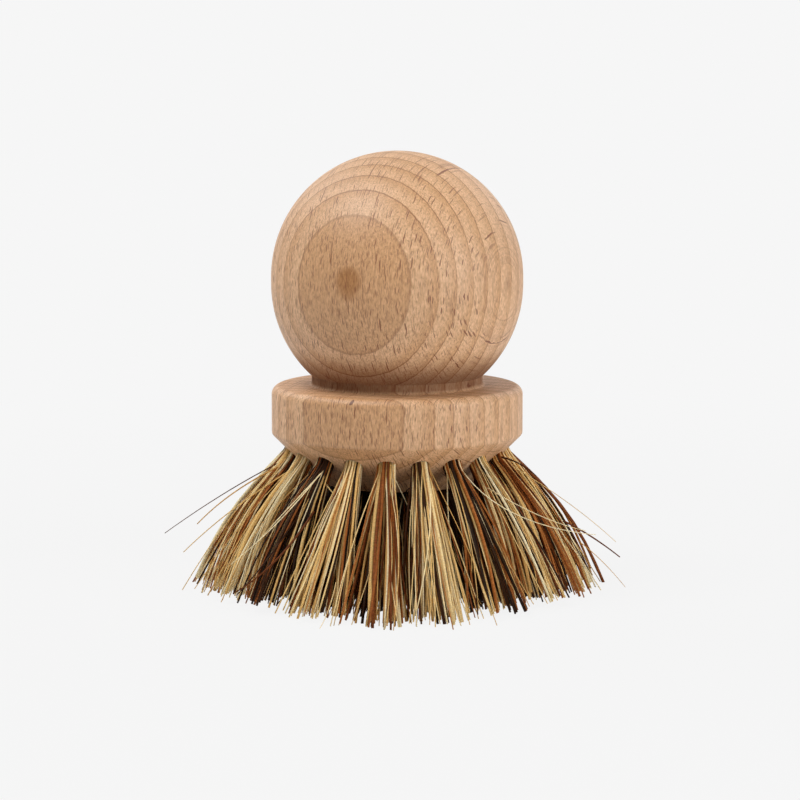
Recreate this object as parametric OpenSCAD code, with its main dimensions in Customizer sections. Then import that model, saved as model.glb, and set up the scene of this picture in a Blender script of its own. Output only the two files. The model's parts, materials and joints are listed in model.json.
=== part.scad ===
// Palm brush: a ball knob and a disc, turned from one piece of beech, with rings of folded
// plant-fibre tufts that wire staples hold in blind holes. The turned piece is two solids,
// ball_knob and tuft_disc, which meet face to face at the foot of the neck.
// Millimetres. The origin is on the axis, in the plane of the trimmed fibre tips, +Z up.

/* [Blank] */
// Diameter of the turned blank, which both the ball and the disc keep
blank_d = 50; // [46:0.5:54]

/* [Knob] */
// Straight belt between the upper and the lower half of the ball
ball_belt = 1.2; // [0.6:0.1:2]
// Depth of the finger groove between ball and disc, from the blank's side in to the neck
groove_depth = 8; // [6:0.25:10]
// Straight height of the neck above the disc
neck_h = 1.9; // [1.4:0.1:3]
// Hollow fillet where the neck meets the disc
neck_fillet = 0.7; // [0.4:0.1:1.1]

/* [Disc] */
// Height of the disc's upright side with its top rounding
disc_h = 9.6; // [8:0.2:12]
// Rounding of the disc's top edge
disc_round = 1.8; // [1:0.1:2.5]

/* [Underside] */
// Height of the cone under the disc
cone_h = 9.8; // [9:0.2:11]
// Diameter of the flat face under the cone
face_d = 30.4; // [29.6:0.2:31.6]
// Width of the blunted corner between side and cone, and between cone and face
corner_blunt = 0.5; // [0.3:0.1:0.8]

/* [Tuft holes] */
// Diameter of the drill
hole_d = 3.8; // [3.5:0.1:4]
// Depth of a hole along its own axis
hole_depth = 7.5; // [6.5:0.25:8]
// Gap between a packed tuft and the wall of its hole
tuft_fit = 0.05; // [0.03:0.01:0.1]

/* [Outer ring] */
// Tufts in the ring on the cone
outer_count = 20; // [18:1:22]
// Distance from the disc's side in to the circle through their hole mouths
outer_inset = 4; // [3.5:0.1:4.5]
// Angle at which they lean out from the axis
outer_lean = 28; // [26:0.5:30]
// Distance by which their tips flare out past the line of their holes
outer_flare = 0.4; // [0:0.1:1.5]
// Angle by which the ring is turned from +X
outer_turn = 12.5; // [0:0.5:18]

/* [Middle ring] */
// Tufts in the ring near the edge of the flat face
middle_count = 14; // [12:1:14]
// Diameter of the circle through their hole mouths
middle_circle_d = 24.6; // [24.2:0.1:25]
// Angle at which they lean out from the axis
middle_lean = 20; // [17:0.5:21]
// Distance by which their tips flare out past the line of their holes
middle_flare = 3.6; // [2.5:0.1:4]

/* [Inner ring] */
// Tufts in the ring round the centre tuft
inner_count = 7; // [6:1:7]
// Diameter of the circle through their hole mouths
inner_circle_d = 12.6; // [12.2:0.1:13]
// Angle at which they lean out from the axis
inner_lean = 8; // [6:0.5:9]
// Distance by which their tips flare out past the line of their holes
inner_flare = 2.9; // [2:0.1:3.5]

/* [Fibres] */
// Height of the flat face above the trimmed tips
trim_h = 20.8; // [18:0.2:24]
// Width of one strand across its corners, at its root
strand_w = 0.8; // [0.7:0.05:0.8]
// Width of one strand across its corners, at its tip
tip_w = 1.3; // [1:0.05:1.4]
// Length of the packed, unfanned tuft outside its hole
collar_h = 0.8; // [0.6:0.1:1.2]
// Width across the tips of one fanned tuft
fan_w = 10.2; // [8:0.2:10.4]

/* [Staples] */
// Side of the square staple wire
wire_w = 0.6; // [0.5:0.05:0.8]
// Distance between the two legs of a staple, centre to centre
staple_w = 2.3; // [2:0.05:2.4]
// Thickness of folded fibre between the staple and the bottom of the hole
fold_h = 1; // [0.8:0.1:1.5]
// Depth to which the legs are driven into the wood
leg_drive = 3.5; // [2.5:0.25:4]
// Gap round the wire
wire_fit = 0.05; // [0.03:0.01:0.1]

/* [Hidden] */
$fn = 96;
STRAND_SIDES = 3;
STRAND_STEPS = 3;
// Depth to which a strand is rooted in the packed part of its tuft
ROOT_IN = 0.4;
// Least wood or fibre left between a strand's corner and the side of its packed tuft
ROOT_MARGIN = 0.1;
// Above 1, strands leave their hole straight and then curve outwards
FAN_CURVE = 1.15;
// Overshoot of a cutter past the surface that it opens
CUT = 1;

ball_r = blank_d / 2;
disc_r = blank_d / 2;
neck_r = ball_r - groove_depth;
face_r = face_d / 2;
outer_r = disc_r - outer_inset;
middle_r = middle_circle_d / 2;
inner_r = inner_circle_d / 2;
tuft_r = hole_d / 2 - tuft_fit;
root_r = tuft_r - strand_w / 2 - ROOT_MARGIN;
fan = (fan_w - tip_w) / 2 / root_r;
// Circles in a packed tuft on which its strands stand: their number, share of root_r and turn
ROOT_CIRCLES = [[1, 0, 0], [3, 0.55, 30], [6, 1, 0]];
roots = [for (circle = ROOT_CIRCLES, n = [0:circle[0] - 1])
    let (turn = circle[2] + 360 * n / circle[0])
    root_r * circle[1] * [cos(turn), sin(turn)]];

face_z = trim_h;
edge_z = face_z + cone_h;
top_z = edge_z + disc_h;
lower_ball_z = top_z + neck_h + sqrt(ball_r * ball_r - neck_r * neck_r);
upper_ball_z = lower_ball_z + ball_belt;
// The middle of an outer hole's mouth lies on the cone
outer_z = face_z + cone_h * (outer_r - face_r) / (disc_r - face_r);

BEECH = [0.83, 0.66, 0.50];
STRAW = [0.80, 0.66, 0.42];
RUSSET = [0.50, 0.31, 0.18];
DARK = [0.24, 0.17, 0.12];
STEEL = [0.68, 0.68, 0.70];
OUTER_TINTS = [RUSSET, STRAW, DARK, STRAW, RUSSET, STRAW, DARK, RUSSET, RUSSET, STRAW];

function two_digits(n) = n < 10 ? str("0", n) : str(n);
function tuft_name(ring, n) = str(ring, "_tuft_", two_digits(n));

// Upper right quarter of a disc
module quarter(r) {
    intersection() {
        circle(r);
        square(r + CUT);
    }
}

// Half outline of the ball and its neck, down to the neck's foot
module knob_outline() {
    translate([0, upper_ball_z]) quarter(ball_r);
    translate([0, lower_ball_z]) square([ball_r, ball_belt]);
    intersection() {
        translate([0, lower_ball_z]) mirror([0, 1]) quarter(ball_r);
        translate([0, top_z]) square(blank_d);
    }
    translate([0, top_z]) square([neck_r, neck_h + CUT]);
    difference() {
        translate([neck_r - CUT, top_z]) square([neck_fillet + CUT, neck_fillet]);
        translate([neck_r + neck_fillet, top_z + neck_fillet]) circle(neck_fillet);
    }
}

// Half outline of the disc, with its rounded top edge and blunted lower corners
module disc_outline() {
    inside_r = disc_r - disc_round;
    side_top_z = top_z - disc_round;
    translate([inside_r, side_top_z]) quarter(disc_round);
    translate([0, side_top_z]) square([inside_r, disc_round]);
    polygon([
        [0, face_z],
        [face_r - corner_blunt, face_z],
        [face_r + corner_blunt / 2, face_z + corner_blunt / 2],
        [disc_r - corner_blunt / 2, edge_z - corner_blunt / 2],
        [disc_r, edge_z + corner_blunt],
        [disc_r, side_top_z],
        [0, side_top_z]
    ]);
}

// Puts its children at a hole's mouth, with +Z along the hole into the wood
module at_hole(circle_r, mouth_z, lean, turn) {
    rotate([0, 0, turn]) translate([circle_r, 0, mouth_z]) rotate([0, -lean, 0]) children();
}

// One hole with the two slots that the staple's legs make in its floor
module hole_cutter() {
    translate([0, 0, -hole_d]) cylinder(h = hole_depth + hole_d, d = hole_d);
    staple_shape(wire_fit);
}

// All places in one ring, for whatever each of them holds
module ring_of(count, circle_r, mouth_z, lean, turn = 0) {
    for (n = [0:count - 1]) at_hole(circle_r, mouth_z, lean, turn + 360 * n / count) children();
}

module ball_knob() {
    color(BEECH) rotate_extrude() knob_outline();
}

module tuft_disc() {
    color(BEECH) difference() {
        rotate_extrude() disc_outline();
        ring_of(outer_count, outer_r, outer_z, outer_lean, outer_turn) hole_cutter();
        ring_of(middle_count, middle_r, face_z, middle_lean) hole_cutter();
        ring_of(inner_count, inner_r, face_z, inner_lean) hole_cutter();
        ring_of(1, 0, face_z, 0) hole_cutter();
    }
}

// Distance out along the tuft's axis at which a point beside that axis meets the trim plane
function trim_reach(x, mouth_z, lean) = (mouth_z + x * sin(lean)) / cos(lean);

// Corners of one strand, ring after ring from its root to its trimmed tip
function strand_points(root, mouth_z, lean, flare) = [
    for (step = [0:STRAND_STEPS])
        let (
            along = step / STRAND_STEPS,
            middle = root * (1 + (fan - 1) * pow(along, FAN_CURVE)) + [flare * along * along, 0],
            width = strand_w + (tip_w - strand_w) * along,
            start = ROOT_IN - collar_h
        )
        for (side = [0:STRAND_SIDES - 1])
            let (
                corner = [cos(360 * side / STRAND_SIDES), sin(360 * side / STRAND_SIDES)] / 2,
                place = middle + width * corner,
                reach = trim_reach(root[0] * fan + flare + tip_w * corner[0], mouth_z, lean)
            )
            [place[0], place[1], start - (reach + start) * along]
];

// Triangles of one strand: its sides, ring by ring, then its two ends
function strand_faces() = let (last = STRAND_SIDES * STRAND_STEPS) concat(
    [for (step = [0:STRAND_STEPS - 1], side = [0:STRAND_SIDES - 1], half = [0:1])
        let (
            a = step * STRAND_SIDES + side,
            b = step * STRAND_SIDES + (side + 1) % STRAND_SIDES
        )
        half == 0 ? [a, b, b + STRAND_SIDES] : [a, b + STRAND_SIDES, a + STRAND_SIDES]],
    [[2, 1, 0], [last, last + 1, last + 2]]
);

// Fibres of one tuft from the bottom of its hole to the trim plane
module tuft(mouth_z, lean, flare) {
    difference() {
        translate([0, 0, -collar_h]) cylinder(h = hole_depth + collar_h, r = tuft_r, $fn = 48);
        staple_shape(wire_fit);
    }
    for (root = roots)
        polyhedron(strand_points(root, mouth_z, lean, flare), strand_faces());
}

// Staple round the fold of a tuft: a crown across the hole and two legs, with a gap all round
module staple_shape(gap = 0) {
    outside = (staple_w + wire_w) / 2 + gap;
    inside = (staple_w - wire_w) / 2 - gap;
    crown_top = hole_depth - fold_h + gap;
    crown_bottom = hole_depth - fold_h - wire_w - gap;
    leg_tip = hole_depth + leg_drive + gap;
    translate([-wire_w / 2 - gap, 0, 0]) rotate([90, 0, 90]) linear_extrude(wire_w + 2 * gap) polygon([
        [-outside, crown_bottom],
        [outside, crown_bottom],
        [outside, leg_tip],
        [inside, leg_tip],
        [inside, crown_top],
        [-inside, crown_top],
        [-inside, leg_tip],
        [-outside, leg_tip]
    ]);
}

module outer_tuft(n) {
    color(OUTER_TINTS[n % len(OUTER_TINTS)])
        at_hole(outer_r, outer_z, outer_lean, outer_turn + 360 * n / outer_count)
            tuft(outer_z, outer_lean, outer_flare);
}

module middle_tuft(n) {
    color(DARK) at_hole(middle_r, face_z, middle_lean, 360 * n / middle_count)
        tuft(face_z, middle_lean, middle_flare);
}

module inner_tuft(n) {
    color(DARK) at_hole(inner_r, face_z, inner_lean, 360 * n / inner_count)
        tuft(face_z, inner_lean, inner_flare);
}

module centre_tuft() {
    color(DARK) at_hole(0, face_z, 0, 0) tuft(face_z, 0, 0);
}

module staples(count, circle_r, mouth_z, lean, turn = 0) {
    color(STEEL) ring_of(count, circle_r, mouth_z, lean, turn) staple_shape();
}

ball_knob();
tuft_disc();
for (n = [1:outer_count])
    outer_tuft(n - 1);
for (n = [1:middle_count])
    middle_tuft(n - 1);
for (n = [1:inner_count])
    inner_tuft(n - 1);
centre_tuft();
staples(outer_count, outer_r, outer_z, outer_lean, outer_turn);  // outer_staples
staples(middle_count, middle_r, face_z, middle_lean);  // middle_staples
staples(inner_count, inner_r, face_z, inner_lean);  // inner_staples
staples(1, 0, face_z, 0);  // centre_staple
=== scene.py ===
"""Looks of a palm brush: a body turned from beech, and rings of plant-fibre tufts under it.

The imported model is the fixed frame. The turned body and every fibre tuft are modelled here in
its place; the staples keep their own solids and get a wire finish.
"""

import json
import logging
import math
from dataclasses import dataclass, field
from enum import Enum

import bmesh
import bpy
from mathutils import Matrix, Vector

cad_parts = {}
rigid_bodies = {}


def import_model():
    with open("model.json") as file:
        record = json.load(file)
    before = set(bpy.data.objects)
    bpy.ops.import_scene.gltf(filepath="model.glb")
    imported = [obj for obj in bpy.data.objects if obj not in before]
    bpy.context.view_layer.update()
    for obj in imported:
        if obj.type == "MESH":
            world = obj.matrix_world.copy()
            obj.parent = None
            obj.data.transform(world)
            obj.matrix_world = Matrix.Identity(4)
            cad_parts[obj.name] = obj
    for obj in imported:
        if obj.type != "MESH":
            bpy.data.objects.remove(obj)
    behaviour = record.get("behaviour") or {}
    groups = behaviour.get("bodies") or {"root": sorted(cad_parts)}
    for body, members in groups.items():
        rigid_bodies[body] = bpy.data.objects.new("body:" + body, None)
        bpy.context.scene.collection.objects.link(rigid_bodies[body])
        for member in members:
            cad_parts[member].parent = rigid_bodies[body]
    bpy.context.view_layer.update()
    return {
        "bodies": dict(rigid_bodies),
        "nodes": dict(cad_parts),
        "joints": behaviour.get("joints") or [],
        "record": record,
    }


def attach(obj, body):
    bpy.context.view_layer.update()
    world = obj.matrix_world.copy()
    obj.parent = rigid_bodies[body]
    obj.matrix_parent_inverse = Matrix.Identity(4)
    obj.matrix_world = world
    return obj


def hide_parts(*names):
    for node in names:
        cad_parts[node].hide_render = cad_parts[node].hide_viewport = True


MM = 0.001
ROOT = "root"
GOLDEN_ANGLE = math.radians(137.508)
# Length of every fibre's own lane, which its lengthwise lines follow, in millimetres
LANE_L = 28.0
LOG = logging.getLogger("palm_brush")


def srgb(red: float, green: float, blue: float) -> tuple[float, float, float, float]:
    """Turns a colour as a screen shows it into the linear one that a shader takes.

    Args:
        red: Share of red, 0 to 1.
        green: Share of green, 0 to 1.
        blue: Share of blue, 0 to 1.

    Returns:
        Linear red, green, blue and an alpha of 1.
    """
    linear = [c / 12.92 if c <= 0.04045 else ((c + 0.055) / 1.055) ** 2.4 for c in (red, green, blue)]
    return (linear[0], linear[1], linear[2], 1.0)


class Flow:
    """A value that flows out of a node. Arithmetic on it adds Math nodes to its tree."""

    def __init__(self, tree: "Tree", socket: bpy.types.NodeSocket) -> None:
        """Remembers the socket and the tree that it is in."""
        self.tree = tree
        self.socket = socket

    def __add__(self, other: "Flow | float") -> "Flow":
        """Sum of the two."""
        return self.tree.math("ADD", self, other)

    def __radd__(self, other: float) -> "Flow":
        """Sum of the two."""
        return self.tree.math("ADD", other, self)

    def __sub__(self, other: "Flow | float") -> "Flow":
        """Difference of the two."""
        return self.tree.math("SUBTRACT", self, other)

    def __rsub__(self, other: float) -> "Flow":
        """Difference of the two."""
        return self.tree.math("SUBTRACT", other, self)

    def __mul__(self, other: "Flow | float") -> "Flow":
        """Product of the two."""
        return self.tree.math("MULTIPLY", self, other)

    def __rmul__(self, other: float) -> "Flow":
        """Product of the two."""
        return self.tree.math("MULTIPLY", other, self)

    def __truediv__(self, other: "Flow | float") -> "Flow":
        """Quotient of the two."""
        return self.tree.math("DIVIDE", self, other)

    def __pow__(self, other: "Flow | float") -> "Flow":
        """The value raised to a power."""
        return self.tree.math("POWER", self, other)


class Tree:
    """Adds nodes to one shader or geometry tree and joins them."""

    def __init__(self, tree: bpy.types.NodeTree) -> None:
        """Starts on an empty tree.

        Args:
            tree: The node tree to fill. Nodes already in it are removed.
        """
        self.tree = tree
        tree.nodes.clear()

    def feed(self, socket: bpy.types.NodeSocket, value: object) -> None:
        """Joins a flow to an input, or sets the input's own value."""
        if isinstance(value, Flow):
            self.tree.links.new(value.socket, socket)
        else:
            socket.default_value = value

    def add(self, kind: str, inputs: dict | None = None, **settings: object) -> bpy.types.Node:
        """Adds one node.

        Args:
            kind: The node's type.
            inputs: Values or flows by the input's name or number.
            **settings: The node's own properties.

        Returns:
            The new node.
        """
        node = self.tree.nodes.new(kind)
        for name, value in settings.items():
            setattr(node, name, value)
        for key, value in (inputs or {}).items():
            self.feed(node.inputs[key], value)
        return node

    def flow(
        self, kind: str, inputs: dict | None = None, output: int | str = 0, **settings: object
    ) -> Flow:
        """Adds one node and returns one of its outputs."""
        return Flow(self, self.add(kind, inputs, **settings).outputs[output])

    def math(self, operation: str, *values: "Flow | float") -> Flow:
        """Adds a Math node."""
        return self.flow("ShaderNodeMath", dict(enumerate(values)), operation=operation)

    def clamp(self, value: Flow, low: float = 0.0, high: float = 1.0) -> Flow:
        """Keeps a value between two limits."""
        return self.math("MINIMUM", self.math("MAXIMUM", value, low), high)

    def ease(self, value: Flow, low: float, high: float) -> Flow:
        """Rises smoothly from 0 at low to 1 at high, or falls where low is the greater."""
        inputs = {"Value": value, "From Min": low, "From Max": high}
        return self.flow("ShaderNodeMapRange", inputs, interpolation_type="SMOOTHSTEP")

    def vector(self, operation: str, *values: object, output: int | str = 0) -> Flow:
        """Adds a Vector Math node."""
        return self.flow("ShaderNodeVectorMath", dict(enumerate(values)), output, operation=operation)

    def scale(self, place: Flow, factor: float) -> Flow:
        """Scales a vector."""
        return self.flow("ShaderNodeVectorMath", {0: place, "Scale": factor}, operation="SCALE")

    def join(self, x: "Flow | float", y: "Flow | float", z: "Flow | float") -> Flow:
        """Makes a vector of three values."""
        return self.flow("ShaderNodeCombineXYZ", {0: x, 1: y, 2: z})

    def split(self, vector: Flow) -> tuple[Flow, Flow, Flow]:
        """Takes a vector apart."""
        node = self.add("ShaderNodeSeparateXYZ", {0: vector})
        return Flow(self, node.outputs[0]), Flow(self, node.outputs[1]), Flow(self, node.outputs[2])

    def noise(self, place: Flow, scale: float = 1.0, detail: float = 2.0, output: str = "Fac") -> Flow:
        """Adds a noise texture over a place that is already scaled, or over one in millimetres."""
        inputs = {"Vector": place, "Scale": scale, "Detail": detail}
        return self.flow("ShaderNodeTexNoise", inputs, output)

    def ramp(self, value: Flow, stops: list[tuple[float, tuple]]) -> Flow:
        """Adds a colour ramp with the given stops."""
        node = self.add("ShaderNodeValToRGB", {"Fac": value})
        elements = node.color_ramp.elements
        while len(elements) > 1:
            elements.remove(elements[-1])
        elements[0].position, elements[0].color = stops[0]
        for position, color in stops[1:]:
            elements.new(position).color = color
        return Flow(self, node.outputs["Color"])

    def mix(self, share: "Flow | float", first: object, second: object, blend: str = "MIX") -> Flow:
        """Mixes two colours."""
        node = self.add("ShaderNodeMix", data_type="RGBA", blend_type=blend)
        for name, value in (("Factor_Float", share), ("A_Color", first), ("B_Color", second)):
            socket = next(s for s in node.inputs if s.identifier == name)
            self.feed(socket, value)
        return Flow(self, next(s for s in node.outputs if s.identifier == "Result_Color"))


def new_material(name: str) -> tuple[bpy.types.Material, Tree]:
    """Makes an empty node material.

    Returns:
        The material and the builder of its tree.
    """
    material = bpy.data.materials.new(name)
    material.use_nodes = True
    return material, Tree(material.node_tree)


def finish_surface(tree: Tree, inputs: dict) -> None:
    """Ends a material in one Principled shader with the given inputs."""
    shader = tree.flow("ShaderNodeBsdfPrincipled", inputs, "BSDF")
    tree.add("ShaderNodeOutputMaterial", {"Surface": shader})


def streaks_group() -> bpy.types.NodeTree:
    """Builds the group that puts fine lengthwise lines on both wood and fibre.

    Returns:
        A shader group from a place in millimetres to a shade about 1.
    """
    group = bpy.data.node_groups.new("lengthwise streaks", "ShaderNodeTree")
    sockets = {"Place": "Vector", "Across": "Float", "Along": "Float", "Contrast": "Float"}
    for name, kind in sockets.items():
        group.interface.new_socket(name=name, in_out="INPUT", socket_type="NodeSocket" + kind)
    group.interface.new_socket(name="Shade", in_out="OUTPUT", socket_type="NodeSocketFloat")
    tree = Tree(group)
    given = tree.add("NodeGroupInput")
    across, along = Flow(tree, given.outputs["Across"]), Flow(tree, given.outputs["Along"])
    place = Flow(tree, given.outputs["Place"])
    stretched = tree.vector("MULTIPLY", place, tree.join(across, across, along))
    centred = tree.noise(stretched, detail=3.0) - 0.5
    shade = 1.0 + centred * 2.0 * Flow(tree, given.outputs["Contrast"])
    tree.add("NodeGroupOutput", {"Shade": shade})
    return group


@dataclass(frozen=True)
class Streaks:
    """How fine and how strong a finish's lengthwise lines are: lines per millimetre and contrast."""

    across: float
    along: float
    contrast: float

    def lay(self, tree: Tree, group: bpy.types.NodeTree, place: Flow) -> Flow:
        """Adds the lines to a material and returns their shade."""
        values = {"Place": place, "Across": self.across, "Along": self.along, "Contrast": self.contrast}
        return tree.flow("ShaderNodeGroup", values, "Shade", node_tree=group)


@dataclass(frozen=True)
class BeechFinish:
    """Untreated beech, sawn near the bark and turned: growth rings, rays and fine pores.

    The rings stand round the tree's pith, which is well outside the brush and bends a little on its
    way up. A depth is measured in millimetres towards the pith from the brush's axis, level with
    the middle of the ball. A tint is the share of a colour that is laid over the wood, and warming
    holds the powers of red, green and blue, so that a darker place is a redder one.
    """

    pith_distance: float = 160.0
    pith_side: float = 22.0
    ball_z: float = 61.0
    trunk_lean: float = 0.045
    trunk_bend: float = 0.0009
    ring_depths: tuple[float, ...] = (
        21.6, 18.1, 15.1, 11.75, 8.3, 4.5, 0.2, -4.0, -8.2, -12.1, -16.3, -20.2, -24.0
    )
    early_wood: tuple = srgb(0.900, 0.722, 0.550)
    late_wood: tuple = srgb(0.836, 0.642, 0.460)
    ring_line: tuple = srgb(0.600, 0.400, 0.240)
    first_ring: tuple = srgb(0.842, 0.650, 0.468)
    heart_spot: tuple = srgb(0.650, 0.425, 0.190)
    heart_depth: float = 24.92
    heart_tint: float = 0.78
    ray: tuple = srgb(0.480, 0.235, 0.090)
    ray_tint: float = 0.95
    ray_size: tuple[float, float, float] = (0.34, 0.40, 0.42)
    fine_ray: tuple[float, float, float] = (0.36, 2.3, 18.0)
    fine_share: float = 0.62
    broad_ray: tuple[float, float, float] = (0.52, 4.2, 26.0)
    broad_share: float = 0.30
    oval: tuple[float, float, float] = (0.14, 14.0, 40.0)
    flat_side: float = 22.8
    sheet: tuple[float, float, float] = (0.34, 6.0, 20.0)
    sheet_tint: float = 0.18
    pore_scale: tuple[float, float, float] = (4.2, 4.2, 0.9)
    pore_tint: float = 0.38
    warming: tuple[float, float, float] = (0.78, 1.05, 1.35)
    grain: Streaks = Streaks(across=3.4, along=1.0, contrast=0.60)
    # Painted shade round the neck under the ball: its colour, its share, and the heights where it fades in
    # above and below.
    groove_shade: tuple = srgb(0.390, 0.215, 0.100)
    groove_shade_tint: float = 0.70
    groove_shade_top: tuple[float, float] = (49.6, 42.6)
    groove_shade_foot: tuple[float, float] = (39.9, 41.0)
    nick_place: tuple[float, float, float] = (-8.7, -22.9, 39.5)
    nick_size: tuple[float, float] = (1.10, 0.42)
    nick: tuple = srgb(0.360, 0.160, 0.040)
    nick_tint: float = 0.85
    roughness: float = 0.48
    groove_roughness: float = 0.88
    relief: float = 0.05

    def build(self, streaks: bpy.types.NodeTree) -> bpy.types.Material:
        """Builds the material.

        Args:
            streaks: The group of lengthwise lines.

        Returns:
            The beech material.
        """
        material, tree = new_material("turned beech")
        place = tree.scale(tree.flow("ShaderNodeTexCoord", output="Object"), 1 / MM)
        around, up, depth = self.in_trunk(tree, self.wavered(tree, place))
        still_around, _, still_depth = self.in_trunk(tree, place)
        trunk = tree.join(around, up, depth)
        rays = self.all_rays(tree, trunk, still_around)
        pores = tree.ease(tree.noise(tree.vector("MULTIPLY", place, self.pore_scale), 1.0, 1.0), 0.58, 0.66)
        sheets = tree.ease(tree.noise(tree.vector("DIVIDE", trunk, self.sheet), 1.0, 1.0), 0.56, 0.68)
        marks = tree.math("MAXIMUM", pores * self.pore_tint, sheets * self.sheet_tint)
        grain = self.grain.lay(tree, streaks, place)
        shade = grain * (0.95 + tree.noise(place, 0.09, 2.0) * 0.10)
        tinted = tree.join(*(shade**power for power in self.warming))
        groove_shade = self.in_groove_shade(tree, place)

        color = self.rings(tree, up, depth)
        spot = tree.ease(still_depth, self.heart_depth - 0.12, self.heart_depth + 0.10)
        color = tree.mix(spot * self.heart_tint, color, self.heart_spot)
        color = tree.mix(tree.math("MAXIMUM", rays * self.ray_tint, marks), color, self.ray)
        color = tree.mix(1.0, color, tinted, "MULTIPLY")
        # Painted shade: darkens the wood round the neck under the ball, where shade falls.
        color = tree.mix(groove_shade * self.groove_shade_tint, color, self.groove_shade)
        color = tree.mix(self.in_nick(tree, place) * self.nick_tint, color, self.nick)
        height = grain - rays - pores * 0.6
        finish_surface(
            tree,
            {
                "Base Color": color,
                "Roughness": self.roughness + groove_shade * (self.groove_roughness - self.roughness),
                "Normal": tree.flow(
                    "ShaderNodeBump", {"Height": height, "Strength": 0.45, "Distance": self.relief * MM}
                ),
                "Specular IOR Level": 0.6,
            },
        )
        return material

    def in_groove_shade(self, tree: Tree, place: Flow) -> Flow:
        """1 round the neck under the ball, where the wood's colour is darkened as painted shade, 0 above
        and below it.
        """
        z = tree.split(place)[2]
        return tree.ease(z, *self.groove_shade_top) * tree.ease(z, *self.groove_shade_foot)

    def in_nick(self, tree: Tree, place: Flow) -> Flow:
        """1 in the slanting nick on the disc's rim, 0 away from it."""
        right, _, above = tree.split(tree.vector("SUBTRACT", place, self.nick_place))
        long, thin = (right + above) / self.nick_size[0], (right - above) / self.nick_size[1]
        front = tree.ease(tree.split(place)[1], -20.0, -21.0)
        return tree.ease(long * long + thin * thin, 1.0, 0.4) * front

    def wavered(self, tree: Tree, place: Flow) -> Flow:
        """Moves a place a little to the side, as rings and rays waver in real wood."""
        slow = tree.vector("SUBTRACT", tree.noise(place, 0.06, 1.0, "Color"), (0.5, 0.5, 0.5))
        fast = tree.vector("SUBTRACT", tree.noise(place, 0.9, 1.0, "Color"), (0.5, 0.5, 0.5))
        drift = tree.vector("MULTIPLY", slow, (1.1, 1.1, 0.0))
        waver = tree.vector("MULTIPLY", fast, (0.25, 0.25, 0.0))
        return tree.vector("ADD", place, tree.vector("ADD", drift, waver))

    def in_trunk(self, tree: Tree, place: Flow) -> tuple[Flow, Flow, Flow]:
        """Finds where a place was in the trunk: along the rings, up, and in towards the pith."""
        side = math.radians(self.pith_side)
        x, y, z = tree.split(place)
        dx = x + self.pith_distance * math.sin(side)
        dy = y + self.pith_distance * math.cos(side)
        out = tree.math("SQRT", dx * dx + dy * dy)
        around = (tree.math("ARCTAN2", dy, dx) - math.radians(90 - self.pith_side)) * self.pith_distance
        rise = z - self.ball_z
        lean = rise * self.trunk_lean + rise * rise * self.trunk_bend
        return around, z, self.pith_distance - out + lean

    def rings(self, tree: Tree, up: Flow, depth: Flow) -> Flow:
        """Colours the growth rings: pale early wood, darker late wood, then a thin line."""
        reach = 30.0
        count = len(self.ring_depths)
        level = (reach - depth) / (2 * reach)
        stops = [
            ((reach - edge) / (2 * reach), (number / count,) * 3 + (1.0,))
            for number, edge in enumerate(self.ring_depths)
        ]
        grown = tree.ramp(level, [(0.0, (0.0, 0.0, 0.0, 1.0)), *stops, (1.0, (1.0,) * 4)]) * count
        phase = tree.math("FRACT", grown)
        wood = tree.mix(tree.ease(phase, 0.25, 0.95), self.early_wood, self.late_wood)
        edge = self.ring_depths[0]
        wood = tree.mix(tree.ease(depth, edge, edge + 0.25), wood, self.first_ring)
        line = tree.ease(phase, 0.91, 0.96) * tree.ease(phase, 1.0, 0.98)
        first = tree.ease(depth, edge - 0.05, edge + 0.05) * tree.ease(depth, edge + 0.45, edge + 0.10)
        from_ball = tree.math("ABSOLUTE", up - self.ball_z)
        plain = (0.25 + 0.6 * tree.ease(from_ball, 5.0, 15.0)) * (0.45 + 0.55 * tree.ease(up, 39.0, 42.0))
        return tree.mix(tree.math("MAXIMUM", line * plain, first * 0.5), wood, self.ring_line)

    def all_rays(self, tree: Tree, trunk: Flow, around: Flow) -> Flow:
        """Finds the fine and the broad rays, and the thin ovals where the ball's side cuts them flat.

        Args:
            tree: The material's tree.
            trunk: Place in the trunk: along the rings, up and in.
            around: Place along the rings without the wood's wavering.

        Returns:
            1 in the middle of a dark ray, 0 away from it.
        """
        _, up, depth = tree.split(trunk)
        aside = tree.math("ABSOLUTE", around)
        flat = tree.ease(aside, self.flat_side, self.flat_side + 1.4)
        fine = self.rays(tree, trunk, self.fine_ray, self.fine_share) * (1.0 - flat * 0.75)
        broad = self.rays(tree, trunk, self.broad_ray, self.broad_share) * tree.ease(aside, 19.0, 13.0)
        still = tree.join(around, up, depth)
        edges = tree.noise(tree.vector("DIVIDE", still, self.oval), 1.0, 1.0)
        ovals = tree.ease(edges, 0.54, 0.64) * flat * 0.30
        return tree.math("MAXIMUM", tree.math("MAXIMUM", fine, broad), ovals)

    def rays(self, tree: Tree, trunk: Flow, cell: tuple[float, float, float], share: float) -> Flow:
        """Finds the rays: thin upright sheets that run out from the pith.

        Args:
            tree: The material's tree.
            trunk: Place in the trunk: along the rings, up and in.
            cell: Room that one ray has in each of the three directions, in millimetres.
            share: Share of the cells that hold a ray.

        Returns:
            1 in the middle of a dark ray, 0 away from it.
        """
        scaled = tree.vector("DIVIDE", trunk, cell)
        cells = tree.add("ShaderNodeTexVoronoi", {"Vector": scaled, "Scale": 1.0}, feature="F1")
        aside = tree.vector("SUBTRACT", scaled, Flow(tree, cells.outputs["Position"]))
        away = tree.vector("LENGTH", tree.vector("DIVIDE", aside, self.ray_size), output="Value")
        pick, size, _ = tree.split(Flow(tree, cells.outputs["Color"]))
        chosen = tree.math("LESS_THAN", pick, share)
        return tree.ease(away, 0.95, 0.6) * chosen * (0.35 + size * 0.65)


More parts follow.
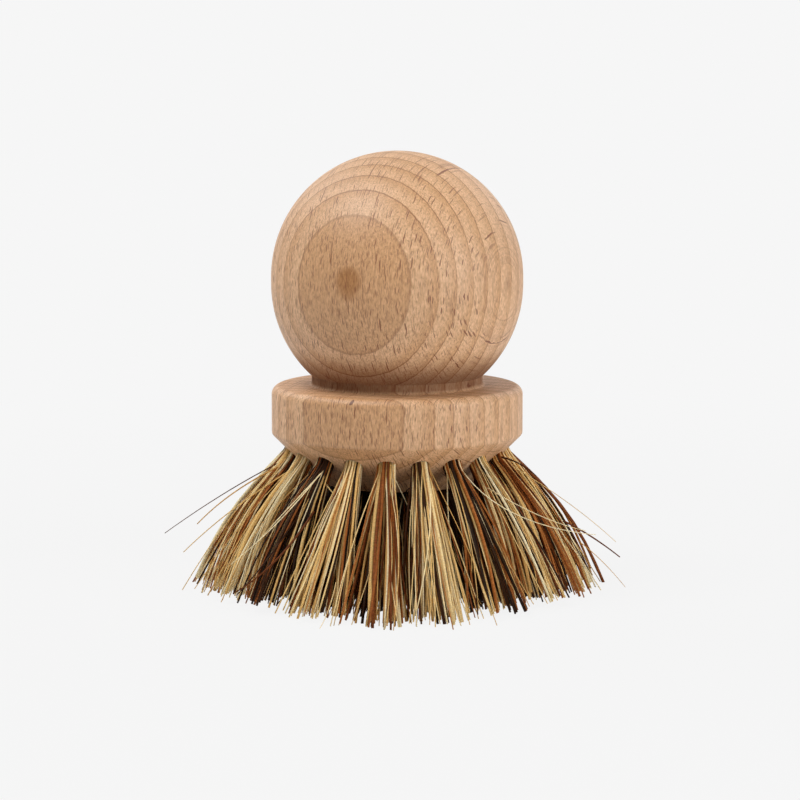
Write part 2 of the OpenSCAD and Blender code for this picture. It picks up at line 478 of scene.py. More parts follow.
@dataclass(frozen=True)
class FibreFinish:
    """Dry plant fibre, from nearly black through russet and gold to pale straw.

    Each fibre brings its own tone, 0 for the darkest and 1 for the palest.
    """

    palette: tuple = (
        (0.00, srgb(0.095, 0.048, 0.012)),
        (0.14, srgb(0.235, 0.125, 0.040)),
        (0.30, srgb(0.440, 0.225, 0.090)),
        (0.44, srgb(0.690, 0.410, 0.190)),
        (0.58, srgb(0.860, 0.660, 0.380)),
        (0.74, srgb(0.955, 0.790, 0.500)),
        (0.88, srgb(0.985, 0.870, 0.630)),
        (1.00, srgb(0.995, 0.940, 0.780)),
    )
    lines: Streaks = Streaks(across=4.5, along=0.35, contrast=0.6)
    roughness: float = 0.60

    def build(self, streaks: bpy.types.NodeTree) -> bpy.types.Material:
        """Builds the material.

        Args:
            streaks: The group of lengthwise lines.

        Returns:
            The fibre material.
        """
        material, tree = new_material("plant fibre")
        tone = tree.flow("ShaderNodeAttribute", output="Fac", attribute_name="tone")
        along = tree.flow("ShaderNodeAttribute", output="Fac", attribute_name="along")
        lane = tree.flow("ShaderNodeAttribute", output="Vector", attribute_name="lane")
        drift = tree.noise(tree.vector("MULTIPLY", lane, (0.3, 0.3, 0.18)), 1.0, 2.0) - 0.5
        cut = tree.ease(along, 0.992, 0.999)
        shown = tree.clamp(tone + drift * 0.22 + cut * 0.10)
        color = tree.ramp(shown, list(self.palette))
        lines = self.lines.lay(tree, streaks, lane)
        color = tree.mix(1.0, color, tree.join(lines, lines, lines), "MULTIPLY")
        bump = tree.flow("ShaderNodeBump", {"Height": lines, "Strength": 0.4, "Distance": 0.03 * MM})
        finish_surface(
            tree,
            {"Base Color": color, "Roughness": self.roughness, "Normal": bump, "Specular IOR Level": 0.12},
        )
        return material


@dataclass(frozen=True)
class WireFinish:
    """Tinned staple wire, drawn lengthwise and slightly dull."""

    bright: tuple = srgb(0.80, 0.80, 0.81)
    dull: tuple = srgb(0.58, 0.57, 0.56)

    def build(self) -> bpy.types.Material:
        """Builds the material."""
        material, tree = new_material("tinned wire")
        place = tree.flow("ShaderNodeTexCoord", output="Object")
        patches = tree.noise(place, 1.2 / MM, 3.0)
        color = tree.mix(tree.ease(patches, 0.35, 0.65), self.bright, self.dull)
        roughness = 0.28 + patches * 0.2
        finish_surface(tree, {"Base Color": color, "Roughness": roughness, "Metallic": 1.0})
        return material


def plain_mesh(source: bpy.types.Object, name: str) -> bpy.types.Object:
    """Turns an object with its modifiers into a plain mesh and removes the source.

    Args:
        source: The object with live modifiers.
        name: The new object's name.

    Returns:
        A mesh object at the origin.
    """
    graph = bpy.context.evaluated_depsgraph_get()
    mesh = bpy.data.meshes.new_from_object(source.evaluated_get(graph), depsgraph=graph)
    mesh.name = name
    piece = bpy.data.objects.new(name, mesh)
    bpy.context.scene.collection.objects.link(piece)
    bpy.data.objects.remove(source)
    return piece


def mesh_object(bm: bmesh.types.BMesh, name: str) -> bpy.types.Object:
    """Makes an object of a mesh, with its faces outwards."""
    bmesh.ops.recalc_face_normals(bm, faces=bm.faces)
    mesh = bpy.data.meshes.new(name)
    bm.to_mesh(mesh)
    bm.free()
    made = bpy.data.objects.new(name, mesh)
    bpy.context.scene.collection.objects.link(made)
    return made


@dataclass(frozen=True)
class Ring:
    """One ring of tufts: where its holes are and how its tufts stand. Millimetres and degrees.

    The tips flare out past the line of the holes, the fibres bulge outwards halfway, and the trim
    cuts the tufts between the four sides of the brush higher by up to its length.
    """

    name: str
    count: int
    circle_r: float
    mouth_z: float
    lean: float
    flare: float
    bulge: float
    turn: float = 0.0
    trim: float = 0.0

    def node(self, number: int) -> str:
        """Name of one tuft's solid in the frame."""
        return "centre_tuft" if self.count == 1 else f"{self.name}_tuft_{number:02d}"

    def piece(self, number: int) -> str:
        """Name of the piece that shows one tuft's fibres."""
        return "centre_fibres" if self.count == 1 else f"{self.name}_fibres_{number:02d}"

    def angle(self, number: int) -> float:
        """Direction of one tuft from the axis, in radians from +X."""
        return math.radians(self.turn + 360 * (number - 1) / self.count)

    def place(self, number: int) -> Matrix:
        """Place of one tuft's mouth in millimetres, with +Z along its hole into the wood."""
        turn = Matrix.Rotation(self.angle(number), 4, "Z")
        lean = Matrix.Rotation(-math.radians(self.lean), 4, "Y")
        return turn @ Matrix.Translation((self.circle_r, 0, self.mouth_z)) @ lean


@dataclass
class TurnedBody:
    """The ball, neck, disc and cone, turned from one piece, with a hole for each tuft. Millimetres."""

    blank_d: float = 50.0
    ball_belt: float = 1.2
    groove_depth: float = 8.0
    neck_h: float = 1.9
    neck_fillet: float = 0.7
    disc_h: float = 9.6
    disc_round: float = 1.8
    cone_h: float = 9.8
    face_d: float = 30.4
    corner_blunt: float = 0.5
    trim_h: float = 20.8
    hole_d: float = 3.8
    hole_depth: float = 7.5
    segments: int = 224

    def outline(self) -> list[tuple[float, float]]:
        """Traces half the body's outline from the middle of its flat face to the top of the ball.

        Returns:
            Radius and height of each point.
        """
        r, face_r = self.blank_d / 2, self.face_d / 2
        neck_r = r - self.groove_depth
        edge_z = self.trim_h + self.cone_h
        top_z = edge_z + self.disc_h
        low_z = top_z + self.neck_h + math.sqrt(r * r - neck_r * neck_r)
        blunt = self.corner_blunt
        points = [(ring * face_r / 6, self.trim_h) for ring in range(6)]
        points += [(face_r - blunt, self.trim_h), (face_r - 0.1 * blunt, self.trim_h + 0.12 * blunt)]
        cone_foot = (face_r + blunt / 2, self.trim_h + blunt / 2)
        points += self.straight(cone_foot, (r - blunt / 2, edge_z - blunt / 2), 5)
        points += [(r - 0.08 * blunt, edge_z + 0.15 * blunt), (r, edge_z + blunt)]
        points += self.arc((r - self.disc_round, top_z - self.disc_round), self.disc_round, 0, 90, 8)
        fillet = self.neck_fillet
        points += self.arc((neck_r + fillet, top_z + fillet), fillet, 270, 180, 6)
        low = math.degrees(math.asin((top_z + self.neck_h - low_z) / r))
        points += self.arc((0, low_z), r, low, 0, 26)
        points += self.arc((0, low_z + self.ball_belt), r, 0, 90, 52)[:-1]
        return points + [(0, low_z + self.ball_belt + r)]

    @staticmethod
    def straight(start: tuple, end: tuple, steps: int) -> list[tuple[float, float]]:
        """Points along a straight line, both ends included."""
        return [tuple(a + (b - a) * n / steps for a, b in zip(start, end)) for n in range(steps + 1)]

    @staticmethod
    def arc(
        centre: tuple, radius: float, start: float, end: float, steps: int
    ) -> list[tuple[float, float]]:
        """Points along an arc between two angles in degrees, both ends included."""
        angles = [math.radians(start + (end - start) * n / steps) for n in range(steps + 1)]
        return [(centre[0] + radius * math.cos(a), centre[1] + radius * math.sin(a)) for a in angles]

    def turned(self) -> bpy.types.Object:
        """Turns the outline about the axis into a closed mesh."""
        bm = bmesh.new()
        angles = [2 * math.pi * n / self.segments for n in range(self.segments)]
        rings = []
        for radius, height in self.outline():
            if radius < 1e-6:
                rings.append([bm.verts.new((0, 0, height * MM))])
                continue
            around = [Vector((radius * math.cos(a), radius * math.sin(a), height)) * MM for a in angles]
            rings.append([bm.verts.new(point) for point in around])
        for low, high in zip(rings, rings[1:]):
            for n in range(self.segments):
                after = (n + 1) % self.segments
                if len(low) == 1:
                    bm.faces.new((low[0], high[after], high[n]))
                elif len(high) == 1:
                    bm.faces.new((low[n], low[after], high[0]))
                else:
                    bm.faces.new((low[n], low[after], high[after], high[n]))
        return mesh_object(bm, "turned_blank")

    def drills(self, rings: list[Ring]) -> bpy.types.Object:
        """Makes one cutter for all the tuft holes."""
        bm = bmesh.new()
        over = self.hole_d
        for ring in rings:
            for number in range(1, ring.count + 1):
                middle = Matrix.Translation((0, 0, (self.hole_depth - over) / 2))
                bmesh.ops.create_cone(
                    bm,
                    cap_ends=True,
                    segments=32,
                    radius1=self.hole_d / 2,
                    radius2=self.hole_d / 2,
                    depth=self.hole_depth + over,
                    matrix=Matrix.Scale(MM, 4) @ ring.place(number) @ middle,
                )
        return mesh_object(bm, "drills")

    def build(self, rings: list[Ring], beech: bpy.types.Material) -> bpy.types.Object:
        """Builds the drilled body and sets it in the frame's place.

        Args:
            rings: The rings of tufts, each tuft with its hole.
            beech: The wood finish.

        Returns:
            The body piece.
        """
        blank, drills = self.turned(), self.drills(rings)
        cut = blank.modifiers.new("tuft holes", "BOOLEAN")
        cut.operation, cut.solver, cut.object = "DIFFERENCE", "EXACT", drills
        body = plain_mesh(blank, "turned_body")
        bpy.data.objects.remove(drills)
        body.data.polygons.foreach_set("use_smooth", [True] * len(body.data.polygons))
        body.data.set_sharp_from_angle(angle=math.radians(28))
        body.data.materials.clear()
        body.data.materials.append(beech)
        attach(body, ROOT)
        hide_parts("ball_knob", "tuft_disc")
        return body


class Mixture(Enum):
    """What a tuft's fibres are: the shares of dark, russet and golden ones. The rest are pale."""

    DARK = (0.52, 0.18, 0.10)
    INNER = (0.70, 0.17, 0.06)
    BROWN = (0.32, 0.20, 0.16)
    RUSSET = (0.22, 0.38, 0.14)
    GOLDEN = (0.22, 0.10, 0.16)
    PALE = (0.22, 0.12, 0.24)


@dataclass
class FibreTufts:
    """All fibre tufts, made by one node tree. Millimetres, in a tuft's own place at its mouth.

    A pair of swings or bows is that of the tuft's fibres and of the few loose ones in it. A width,
    which is half of the real one, or a tone is the least value and what chance may add.
    """

    fibres: int = 92
    sides: int = 5
    steps: int = 8
    mouth_r: float = 1.72
    root_depth: float = 5.0
    collar_h: float = 0.7
    fan: float = 3.1
    fan_curve: float = 1.15
    front_flare: float = 5.8
    loose_share: float = 0.14
    swings: tuple[float, float] = (2.5, 5.0)
    bows: tuple[float, float] = (0.75, 1.7)
    width: tuple[float, float] = (0.12, 0.13)
    loose_width: tuple[float, float] = (0.085, 0.04)
    flat_share: float = 0.34
    clump_share: float = 0.28
    pale_tone: tuple[float, float] = (0.84, 0.16)
    golden_tone: tuple[float, float] = (0.60, 0.22)
    russet_tone: tuple[float, float] = (0.28, 0.22)
    dark_tone: tuple[float, float] = (0.01, 0.18)
    longest: float = -0.35
    shortest: float = 1.15
    taper: float = 0.12
    tree: bpy.types.NodeTree | None = field(default=None)

    SIZES = ("Mouth height", "Circle radius", "Lean", "Turn", "Flare", "Bulge", "Trim")
    SHARES = ("Dark share", "Russet share", "Golden share")

    def random(self, tree: Tree, seed: Flow, step: int, low: object = 0.0, high: object = 1.0) -> Flow:
        """A random value for each fibre, between two numbers or two vectors."""
        wide = isinstance(low, tuple)
        kind = "FLOAT_VECTOR" if wide else "FLOAT"
        node = tree.add("FunctionNodeRandomValue", data_type=kind)
        sockets = {s.identifier: s for s in node.inputs}
        tree.feed(sockets["Min" if wide else "Min_001"], low)
        tree.feed(sockets["Max" if wide else "Max_001"], high)
        tree.feed(sockets["Seed"], seed + float(step))
        return Flow(tree, node.outputs[0 if wide else 1])

    def choose(self, tree: Tree, test: Flow, when_not: object, when_so: object) -> Flow:
        """Takes one of two numbers by a test."""
        return tree.flow("GeometryNodeSwitch", {0: test, 1: when_not, 2: when_so}, input_type="FLOAT")

    def tones(self, tree: Tree, given: dict[str, Flow], root: Flow) -> Flow:
        """Gives each fibre its tone. Neighbours in a tuft tend to be alike."""
        seed = given["Seed"]
        near = tree.vector("ADD", tree.scale(root, 0.55), tree.join(seed * 3.7, 0.0, 0.0))
        clump = tree.clamp((tree.noise(near, 1.0, 1.0) - 0.28) / 0.44)
        pick = self.random(tree, seed, 1) * (1.0 - self.clump_share) + clump * self.clump_share
        own = self.random(tree, seed, 2)
        dark = given["Dark share"]
        russet = dark + given["Russet share"]
        golden = russet + given["Golden share"]
        tone = self.pale_tone[0] + own * self.pale_tone[1]
        for share, (least, more) in (
            (golden, self.golden_tone),
            (russet, self.russet_tone),
            (dark, self.dark_tone),
        ):
            tone = self.choose(tree, tree.math("LESS_THAN", pick, share), tone, least + own * more)
        return tone

    def build_tree(self) -> bpy.types.NodeTree:
        """Builds the tree that makes one tuft and sets it in its hole.

        Returns:
            A geometry tree whose inputs are a tuft's sizes and shares, its seed and its finish.
        """
        group = bpy.data.node_groups.new("fibre tuft", "GeometryNodeTree")
        inputs = dict.fromkeys(self.SIZES + self.SHARES, "Float") | {"Seed": "Int", "Finish": "Material"}
        for name, kind in inputs.items():
            group.interface.new_socket(name=name, in_out="INPUT", socket_type="NodeSocket" + kind)
        group.interface.new_socket(name="Tuft", in_out="OUTPUT", socket_type="NodeSocketGeometry")
        tree = Tree(group)
        source = tree.add("NodeGroupInput")
        given = {name: Flow(tree, source.outputs[name]) for name in inputs}
        points, fibre = self.drawn(tree, given)
        shaped = self.shaped(tree, given, self.planted(tree, points), fibre)
        seated = self.seated(tree, given, shaped)
        dressed = tree.flow("GeometryNodeSetMaterial", {"Geometry": seated, "Material": given["Finish"]})
        tree.add("NodeGroupOutput", {"Tuft": dressed})
        return group

    def drawn(self, tree: Tree, given: dict[str, Flow]) -> tuple[Flow, dict[str, Flow]]:
        """Draws each fibre's own facts by chance and keeps them on one point for each fibre.

        Args:
            tree: The geometry tree.
            given: The tuft's inputs by name.

        Returns:
            The points, and the facts by name, as the fibres' mesh reads them later.
        """
        seed = given["Seed"]
        index = tree.flow("GeometryNodeInputIndex")
        around = index * GOLDEN_ANGLE + self.random(tree, seed, 12, 0.0, 1.6)
        share = (index + self.random(tree, seed, 13)) / float(self.fibres)
        radius = self.mouth_r * tree.math("SQRT", share)
        root = tree.join(radius * tree.math("COSINE", around), radius * tree.math("SINE", around), 0.0)

        loose = tree.math("LESS_THAN", self.random(tree, seed, 3), self.loose_share)
        swing = self.random(tree, seed, 4, (-1.0, -1.0, -1.0), (1.0, 1.0, 1.0))
        swing_size = self.choose(tree, loose, *self.swings)
        bow = self.random(tree, seed, 5, (-1.0, -1.0, 0.0), (1.0, 1.0, 0.0))
        bow_size = self.choose(tree, loose, *self.bows)
        thick = self.random(tree, seed, 6)
        full = self.width[0] + self.width[1] * thick**1.4
        wide = self.choose(tree, loose, full, self.loose_width[0] + self.loose_width[1] * thick)
        spun = self.random(tree, seed, 8) * math.pi
        short = self.random(tree, seed, 9) ** 2.2
        cut = given["Trim"] + self.longest + (self.shortest - self.longest) * short
        kept = {
            "root": (root, "VECTOR"),
            "swing": (tree.vector("MULTIPLY", swing, tree.join(swing_size, swing_size, 0.0)), "VECTOR"),
            "bow": (tree.vector("MULTIPLY", bow, tree.join(bow_size, bow_size, 0.0)), "VECTOR"),
            "girth": (tree.join(wide * self.flatness(tree, seed, loose), wide, spun), "VECTOR"),
            "cut": (cut, "FLOAT"),
            "tone": (self.choose(tree, loose, self.tones(tree, given, root), 0.62 + 0.36 * thick), "FLOAT"),
            "strand": (self.random(tree, seed, 10) * 40.0, "FLOAT"),
        }
        held = tree.add("GeometryNodeCaptureAttribute", domain="POINT")
        tree.feed(held.inputs["Geometry"], tree.flow("GeometryNodePoints", {"Count": self.fibres}))
        for name, (value, kind) in kept.items():
            held.capture_items.new(kind, name)
            tree.feed(held.inputs[name], value)
        fibre = {name: Flow(tree, held.outputs[name]) for name in kept}
        return Flow(tree, held.outputs["Geometry"]), fibre

    def flatness(self, tree: Tree, seed: Flow, loose: Flow) -> Flow:
        """How much wider than thick each fibre is. Some are flat slivers."""
        broad = tree.math("LESS_THAN", self.random(tree, seed, 7), self.flat_share)
        more = self.random(tree, seed, 11)
        round_or_flat = self.choose(tree, broad, 1.0 + 0.5 * more, 1.7 + 1.1 * more)
        return self.choose(tree, loose, round_or_flat, 1.0)

    def planted(self, tree: Tree, points: Flow) -> Flow:
        """Sets a plain upright fibre, 1 long and 1 in radius, on each point."""
        sizes = {"Vertices": self.sides, "Side Segments": self.steps, "Radius": 1.0, "Depth": 1.0}
        blank = tree.add("GeometryNodeMeshCylinder", sizes, fill_type="NGON")
        mesh, side = Flow(tree, blank.outputs["Mesh"]), Flow(tree, blank.outputs["Side"])
        smooth = tree.flow("GeometryNodeSetShadeSmooth", {"Geometry": mesh, "Selection": side})
        copies = tree.flow("GeometryNodeInstanceOnPoints", {"Points": points, "Instance": smooth})
        return tree.flow("GeometryNodeRealizeInstances", {"Geometry": copies})

    def shaped(self, tree: Tree, given: dict[str, Flow], bundle: Flow, fibre: dict[str, Flow]) -> Flow:
        """Gives each plain fibre its width, its bend and its length.

        Args:
            tree: The geometry tree.
            given: The tuft's inputs by name.
            bundle: The plain fibres.
            fibre: Each fibre's own facts by name.

        Returns:
            The tuft at its mouth, with what the finish reads: tone, share of the length and lane.
        """
        x, y, z = tree.split(tree.flow("GeometryNodeInputPosition"))
        along = z + 0.5
        share = 1.0 / self.steps
        within = tree.clamp(along / share)
        beyond = tree.clamp((along - share) / (1.0 - share))
        root_x, root_y, _ = tree.split(fibre["root"])
        swing_x, swing_y, _ = tree.split(fibre["swing"])
        bow_x, bow_y, _ = tree.split(fibre["bow"])
        wide_r, thin_r, spun = tree.split(fibre["girth"])
        spread = 1.0 + (self.fan - 1.0) * beyond**self.fan_curve
        arch = tree.math("SINE", beyond * math.pi)
        flared = root_x * spread + given["Flare"] * (beyond * beyond)
        mid_x = flared + swing_x * beyond + (bow_x + given["Bulge"]) * arch
        mid_y = root_y * spread + swing_y * beyond + bow_y * arch
        slim = 1.0 - self.taper * beyond
        cos, sin = tree.math("COSINE", spun), tree.math("SINE", spun)
        across, deep = x * wide_r * slim, y * thin_r * slim
        off_x, off_y = across * cos - deep * sin, across * sin + deep * cos
        tilt_sin, tilt_cos = tree.math("SINE", given["Lean"]), tree.math("COSINE", given["Lean"])
        tip_x = root_x * self.fan + given["Flare"] + swing_x
        tip_z = (fibre["cut"] - given["Mouth height"] - tip_x * tilt_sin) / tilt_cos
        top_z = self.root_depth - within * (self.root_depth + self.collar_h)
        end_z = top_z + beyond * (tip_z + self.collar_h)
        local_x = mid_x + off_x
        floor_z = (0.0 - given["Mouth height"] - local_x * tilt_sin) / tilt_cos
        local = tree.join(local_x, mid_y + off_y, tree.math("MAXIMUM", end_z, floor_z))
        tuft = tree.flow("GeometryNodeSetPosition", {"Geometry": bundle, "Position": local})
        strand = fibre["strand"]
        lane = tree.join(x * 0.5 + strand, y * 0.5 - strand, along * LANE_L + strand)
        tuft = self.store(tree, tuft, "tone", fibre["tone"], "FLOAT")
        tuft = self.store(tree, tuft, "along", along, "FLOAT")
        return self.store(tree, tuft, "lane", lane, "FLOAT_VECTOR")

    def seated(self, tree: Tree, given: dict[str, Flow], tuft: Flow) -> Flow:
        """Brings a tuft to metres, leans and turns it, and sets it in its hole."""
        turn = given["Turn"]
        reach = given["Circle radius"] * MM
        rise = given["Mouth height"] * MM
        mouth = tree.join(reach * tree.math("COSINE", turn), reach * tree.math("SINE", turn), rise)
        point = tree.flow("GeometryNodePoints", {"Count": 1})
        seat = {
            "Points": tree.flow("GeometryNodeSetPosition", {"Geometry": point, "Position": mouth}),
            "Instance": tuft,
            "Rotation": tree.join(0.0, 0.0 - given["Lean"], turn),
            "Scale": (MM, MM, MM),
        }
        placed = tree.flow("GeometryNodeInstanceOnPoints", seat)
        return tree.flow("GeometryNodeRealizeInstances", {"Geometry": placed})

    @staticmethod
    def store(tree: Tree, geometry: Flow, name: str, value: Flow, kind: str) -> Flow:
        """Keeps a value on the mesh under a name that the finish reads."""
        node = tree.add("GeometryNodeStoreNamedAttribute", data_type=kind, domain="POINT")
        tree.feed(node.inputs["Geometry"], geometry)
        tree.feed(node.inputs["Name"], name)
        tree.feed(next(s for s in node.inputs if s.name == "Value" and s.enabled), value)
        return Flow(tree, node.outputs["Geometry"])

    def build(
        self, ring: Ring, number: int, mixture: Mixture, finish: bpy.types.Material, slot: str
    ) -> bpy.types.Object:
        """Builds one tuft.

        Args:
            ring: The ring that the tuft is in.
            number: The tuft's number in its ring, from 1.
            mixture: The shares of its fibres' tones.
            finish: The fibre material.
            slot: The record's material slot. Not used.

        Returns:
            The tuft's piece.
        """
        if self.tree is None:
            self.tree = self.build_tree()
        name = ring.piece(number)
        carrier = bpy.data.objects.new(name + "_carrier", bpy.data.meshes.new(name))
        bpy.context.scene.collection.objects.link(carrier)
        growth = carrier.modifiers.new("fibres", "NODES")
        growth.node_group = self.tree
        angle = ring.angle(number)
        towards_front = max(0.0, -math.sin(angle))
        values = {
            "Mouth height": ring.mouth_z,
            "Circle radius": ring.circle_r,
            "Lean": math.radians(ring.lean),
            "Turn": angle,
            "Flare": ring.flare + self.front_flare * towards_front**4,
            "Bulge": ring.bulge,
            "Trim": ring.trim * math.sin(2 * angle) ** 2,
            **dict(zip(self.SHARES, mixture.value)),
            "Seed": number * 37 + len(ring.name) * 1009,
            "Finish": finish,
        }
        for item in self.tree.interface.items_tree:
            if item.in_out == "INPUT":
                growth[item.identifier] = values[item.name]
        piece = plain_mesh(carrier, name)
        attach(piece, ROOT)
        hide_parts(ring.node(number))
        return piece


@dataclass(frozen=True)
class Stray:
    """One loose fibre that has left its tuft: three points that it passes, its width and its tone."""

    start: tuple[float, float, float]
    middle: tuple[float, float, float]
    end: tuple[float, float, float]
    width: float
    tone: float

    def at(self, share: float) -> Vector:
        """Point on the fibre's curve, in millimetres.

        Args:
            share: Share of the way from start to end.

        Returns:
            The point on the parabola through the three points.
        """
        first, second, third = Vector(self.start), Vector(self.middle), Vector(self.end)
        pull = second * 2 - (first + third) / 2
        return first * (1 - share) ** 2 + pull * 2 * share * (1 - share) + third * share**2


@dataclass
class LooseFibres:
    """The stray fibres that lie across the tufts or stand off from them. Millimetres."""

    sides: int = 5
    steps: int = 12
    taper: float = 0.45
    strays: tuple[Stray, ...] = (
        Stray((-20.5, -4.8, 26.6), (-33.0, -6.5, 20.0), (-46.0, -8.0, 11.5), 0.26, 0.22),
        Stray((-18.5, -10.5, 26.0), (-31.5, -12.0, 17.5), (-42.0, -12.5, 8.5), 0.30, 0.74),
        Stray((-20.0, -5.0, 26.0), (-31.0, -8.0, 20.5), (-39.5, -9.0, 13.5), 0.36, 0.62),
        Stray((-14.0, -16.5, 26.0), (-22.0, -28.5, 18.0), (-31.5, -33.5, 10.0), 0.26, 0.97),
        Stray((-13.6, -16.8, 26.0), (-20.0, -26.5, 20.5), (-26.5, -31.0, 14.0), 0.24, 0.94),
        Stray((-16.0, -24.0, 18.5), (-23.0, -32.0, 10.5), (-31.0, -34.0, 4.5), 0.50, 0.24),
        Stray((-19.0, -22.0, 17.5), (-25.0, -30.0, 10.0), (-30.5, -33.5, 4.0), 0.38, 0.12),
        Stray((-14.4, -18.0, 23.5), (-12.6, -20.5, 21.8), (-10.6, -22.5, 19.8), 0.28, 0.80),
        Stray((-1.2, -21.4, 26.0), (1.6, -23.0, 20.5), (4.6, -26.0, 14.5), 0.24, 0.98),
        Stray((5.6, -20.6, 26.2), (6.2, -32.5, 16.5), (3.5, -44.0, 2.4), 0.36, 0.92),
        Stray((5.0, -21.6, 26.2), (6.6, -31.0, 16.0), (5.5, -38.5, 8.0), 0.26, 0.90),
        Stray((12.2, -18.5, 26.3), (22.0, -29.5, 19.2), (37.8, -31.0, 15.2), 0.24, 0.98),
        Stray((17.5, -20.0, 22.5), (27.0, -28.0, 18.5), (36.0, -30.0, 15.8), 0.22, 0.95),
        Stray((20.5, -8.8, 26.3), (33.0, -9.2, 18.3), (43.2, -9.5, 10.0), 0.18, 0.76),
        Stray((32.5, -14.0, 15.0), (38.0, -14.8, 12.0), (43.6, -15.2, 8.0), 0.42, 0.28),
        Stray((35.5, -14.0, 11.0), (40.2, -14.5, 7.0), (44.7, -15.0, 2.0), 0.18, 0.60),
        Stray((-11.5, -36.0, 7.0), (-12.8, -42.0, 3.0), (-14.3, -48.0, 0.6), 0.20, 0.86),
        Stray((1.2, -17.2, 19.0), (2.6, -18.0, 22.3), (6.8, -18.4, 22.6), 0.30, 0.02),
        Stray((20.0, -9.3, 27.0), (23.8, -11.5, 26.0), (27.2, -13.5, 23.8), 0.40, 0.16),
    )

    def build(self, finish: bpy.types.Material) -> bpy.types.Object:
        """Builds all strays as one piece of closed, tapered tubes."""
        bm = bmesh.new()
        tone, along = bm.verts.layers.float.new("tone"), bm.verts.layers.float.new("along")
        lane = bm.verts.layers.float_vector.new("lane")
        for number, stray in enumerate(self.strays):
            rings = []
            for step in range(self.steps + 1):
                share = step / self.steps
                ahead = (stray.at(share + 0.01) - stray.at(share - 0.01)).normalized()
                turn = ahead.to_track_quat("Z", "Y")
                radius = stray.width / 2 * (1.0 - self.taper * share)
                ring = []
                for side in range(self.sides):
                    angle = 2 * math.pi * side / self.sides
                    off = turn @ Vector((math.cos(angle), math.sin(angle), 0)) * radius
                    place = stray.at(share) + off
                    vert = bm.verts.new((place.x * MM, place.y * MM, max(place.z, 0.0) * MM))
                    vert[tone], vert[along] = stray.tone, share
                    aside = (number * 3.1 + math.cos(angle) / 2, math.sin(angle) / 2)
                    vert[lane] = (*aside, share * LANE_L)
                    ring.append(vert)
                rings.append(ring)
            self.skin(bm, rings)
        piece = mesh_object(bm, "loose_fibres")
        piece.data.materials.append(finish)
        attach(piece, ROOT)
        return piece

    def skin(self, bm: bmesh.types.BMesh, rings: list) -> None:
        """Closes one fibre: smooth faces between its rings and a flat one at each end."""
        bm.faces.new(reversed(rings[0]))
        bm.faces.new(rings[-1])
        for low, high in zip(rings, rings[1:]):
            for n in range(self.sides):
                after = (n + 1) % self.sides
                bm.faces.new((low[n], low[after], high[after], high[n])).smooth = True


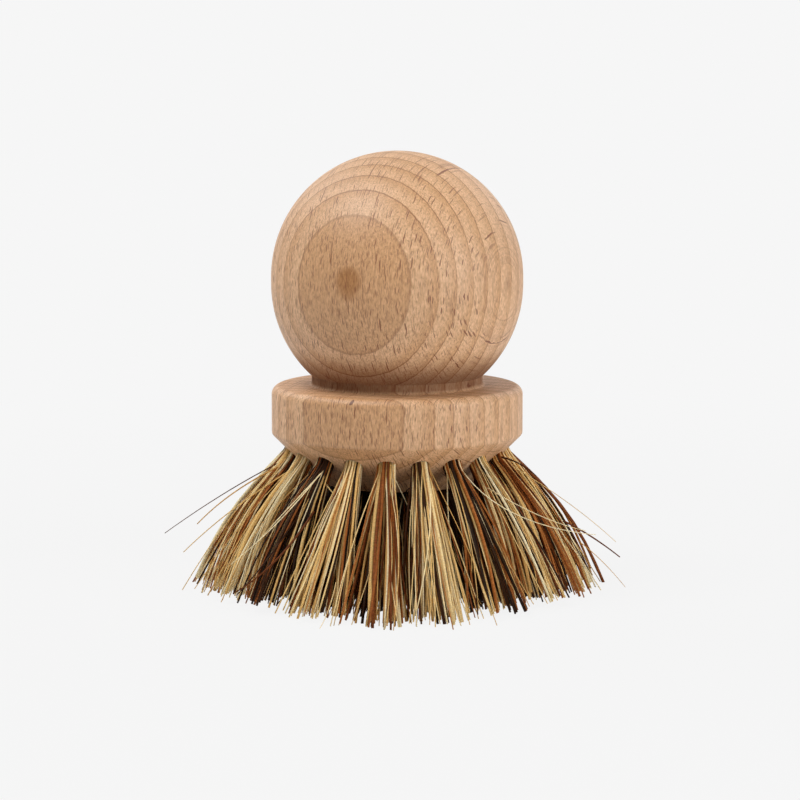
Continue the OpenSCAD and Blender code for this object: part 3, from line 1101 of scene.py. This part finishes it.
@dataclass
class Studio:
    """Camera, floor, backdrop and square softboxes. Millimetres, watts and degrees."""

    camera_place: tuple[float, float, float] = (0.56, -600.0, 115.1)
    pitch_down: float = 7.413
    lens: float = 136.56
    backdrop: tuple = srgb(0.965, 0.965, 0.965)
    floor_r: float = 1500.0
    floor_shade: float = 0.06
    dome: float = 0.08
    aim_z: float = 45.0
    box_w: float = 420.0
    lamps: tuple[tuple[str, tuple[float, float, float], float], ...] = (
        ("overhead", (-345, -150, 809), 4.5),
        ("right", (474, -474, 568), 1.05),
        ("low right", (720, -416, 222), 2.5),
        ("behind left", (-474, 474, 568), 1.05),
        ("behind right", (420, 560, 420), 0.5),
    )

    def build(self) -> None:
        """Sets the whole stage."""
        self.camera()
        self.floor()
        self.world()
        for name, place, power in self.lamps:
            self.lamp(name, place, power)
        bpy.context.scene.view_settings.view_transform = "Standard"

    def camera(self) -> None:
        """Places the camera at the photograph's viewpoint."""
        data = bpy.data.cameras.new("camera")
        data.lens, data.sensor_width, data.clip_start = self.lens, 36.0, 0.01
        camera = bpy.data.objects.new("camera", data)
        camera.location = Vector(self.camera_place) * MM
        camera.rotation_euler = (math.radians(90 - self.pitch_down), 0, 0)
        bpy.context.scene.collection.objects.link(camera)
        bpy.context.scene.camera = camera

    def seen_directly(self, tree: Tree) -> Flow:
        """1 where the eye, a mirror or clear glass looks, 0 for light that falls on the object."""
        path = tree.add("ShaderNodeLightPath")
        kinds = ("Camera", "Glossy", "Transmission")
        eye, mirror, glass = [Flow(tree, path.outputs[f"Is {kind} Ray"]) for kind in kinds]
        return tree.math("MAXIMUM", eye, tree.math("MAXIMUM", mirror, glass))

    def floor(self) -> None:
        """Makes the floor. It keeps a faint shadow near the object and fades into the backdrop."""
        bpy.ops.mesh.primitive_circle_add(vertices=96, radius=self.floor_r * MM, fill_type="NGON")
        floor = bpy.context.active_object
        floor.name = "floor"
        material, tree = new_material("pale floor")
        place = tree.flow("ShaderNodeTexCoord", output="Object")
        away = tree.vector("LENGTH", place, output="Value")
        near = tree.ease(away, 0.30, 0.08)
        lit = tree.flow("ShaderNodeBsdfDiffuse", {"Color": self.backdrop})
        plain = tree.flow("ShaderNodeEmission", {"Color": self.backdrop, "Strength": 1.0})
        share = (1.0 - near * self.floor_shade) * self.seen_directly(tree)
        mixed = tree.flow("ShaderNodeMixShader", {0: share, 1: lit, 2: plain})
        tree.add("ShaderNodeOutputMaterial", {"Surface": mixed})
        floor.data.materials.append(material)

    def world(self) -> None:
        """Lights the object softly from all round, and shows the backdrop's colour."""
        world = bpy.data.worlds.new("studio")
        bpy.context.scene.world = world
        world.use_nodes = True
        tree = Tree(world.node_tree)
        dome = tree.flow("ShaderNodeBackground", {"Color": (1, 1, 1, 1), "Strength": self.dome})
        plain = tree.flow("ShaderNodeBackground", {"Color": self.backdrop, "Strength": 1.0})
        mixed = tree.flow("ShaderNodeMixShader", {0: self.seen_directly(tree), 1: dome, 2: plain})
        tree.add("ShaderNodeOutputWorld", {"Surface": mixed})

    def lamp(self, name: str, place: tuple, power: float) -> None:
        """Hangs one softbox that faces the brush."""
        data = bpy.data.lights.new(name, "AREA")
        data.shape, data.size, data.energy = "SQUARE", self.box_w * MM, power
        lamp = bpy.data.objects.new(name, data)
        lamp.location = Vector(place) * MM
        towards = Vector((0, 0, self.aim_z * MM)) - lamp.location
        lamp.rotation_euler = towards.to_track_quat("-Z", "Y").to_euler()
        bpy.context.scene.collection.objects.link(lamp)


@dataclass
class PalmBrush:
    """The whole brush, from its rings of tufts."""

    outer: Ring = Ring("outer", 20, 21.0, 26.6, 28.0, -1.0, 1.5, turn=12.5, trim=1.9)
    middle: Ring = Ring("middle", 14, 12.3, 20.8, 20.0, 3.4, 0.6)
    inner: Ring = Ring("inner", 7, 6.3, 20.8, 8.0, 2.9, 0.3)
    centre: Ring = Ring("centre", 1, 0.0, 20.8, 0.0, 0.0, 0.0)
    outer_mixtures: tuple[Mixture, ...] = (
        Mixture.BROWN, Mixture.GOLDEN, Mixture.DARK, Mixture.PALE, Mixture.RUSSET,
        Mixture.GOLDEN, Mixture.DARK, Mixture.BROWN, Mixture.RUSSET, Mixture.GOLDEN,
    )

    def slot(self, mixture: Mixture) -> str:
        """The record's slot that comes nearest to a mixture of fibres."""
        if mixture in (Mixture.GOLDEN, Mixture.PALE):
            return "straw_fibre"
        return "russet_fibre" if mixture in (Mixture.RUSSET, Mixture.BROWN) else "dark_fibre"

    def build(self, frame: dict) -> None:
        """Builds and dresses every piece.
        """
        streaks = streaks_group()
        rings = [self.outer, self.middle, self.inner, self.centre]
        body = TurnedBody().build(rings, BeechFinish().build(streaks))
        LOG.info("%s: %d faces", body.name, len(body.data.polygons))
        fibre = FibreFinish().build(streaks)
        tufts = FibreTufts()
        for ring in rings:
            for number in range(1, ring.count + 1):
                mixture = Mixture.INNER
                if ring is self.outer:
                    mixture = self.outer_mixtures[(number - 1) % len(self.outer_mixtures)]
                piece = tufts.build(ring, number, mixture, fibre, self.slot(mixture))
                LOG.info("%s: %d faces", piece.name, len(piece.data.polygons))
        strays = LooseFibres().build(fibre)
        LOG.info("%s: %d faces", strays.name, len(strays.data.polygons))
        wire = WireFinish().build()
        for name, node in frame["nodes"].items():
            if "staple" in name:
                node.data.materials.clear()
                node.data.materials.append(wire)
                LOG.info("%s: tinned wire", name)


def main() -> None:
    """Builds the brush and its studio around the frame."""
    logging.basicConfig(level=logging.INFO, format="%(name)s: %(message)s")
    for leftover in list(bpy.data.objects):
        bpy.data.objects.remove(leftover)
    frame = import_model()
    PalmBrush().build(frame)
    Studio().build()


if __name__ == "__main__":
    main()
